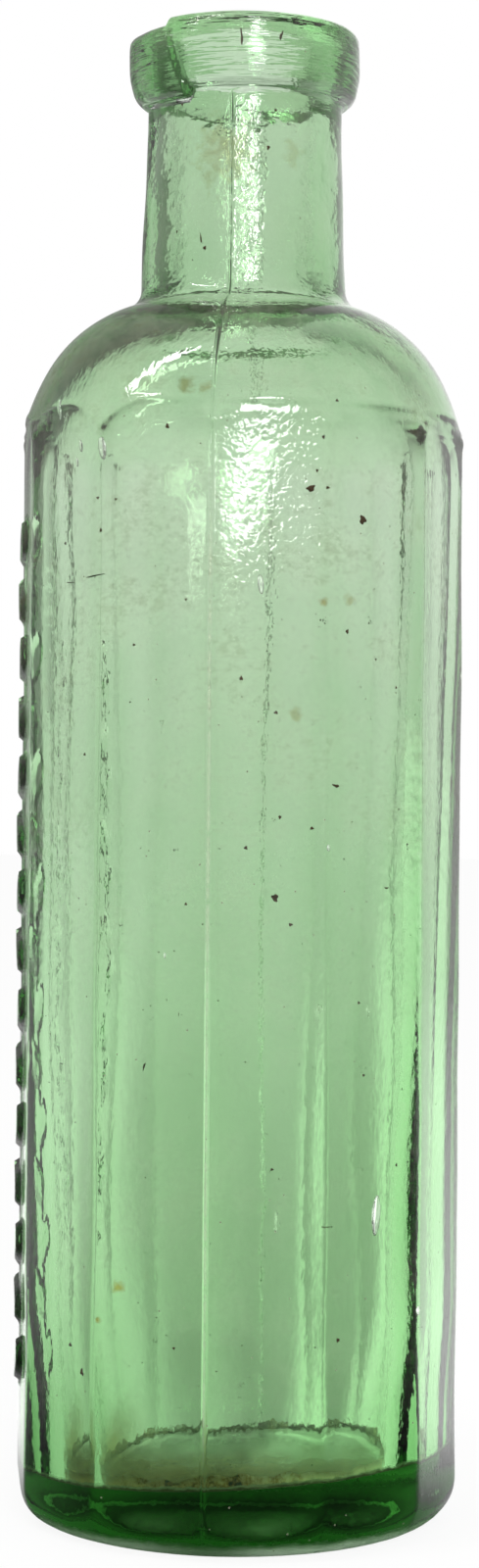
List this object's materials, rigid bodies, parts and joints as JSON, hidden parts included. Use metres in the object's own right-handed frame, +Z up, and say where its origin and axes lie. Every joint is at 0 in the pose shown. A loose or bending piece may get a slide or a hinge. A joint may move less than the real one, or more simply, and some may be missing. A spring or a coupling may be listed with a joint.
{
  "type": "antique glass bottle",
  "caption": "Tall twelve-sided green glass medicine bottle with a round shoulder, cylindrical neck, hand-applied lip and open cork mouth.",
  "frame": {"origin": "centre of the foot, on the surface that the bottle stands on", "axes": "+Z up along the bottle's axis; the mould seams lie on -Y (front) and +Y (back)"},
  "size_m": [0.048, 0.048, 0.159],
  "materials": {
    "body_glass": "clear light green, fire-polished with light wear",
    "lip_glass": "clear light green, hand tooled",
    "crust": "dry brown sediment, matt"
  },
  "bodies": {
    "root": {"bottle_body": "body_glass", "applied_lip": "lip_glass", "dried_crust": "crust"}
  },
  "joints": []
}
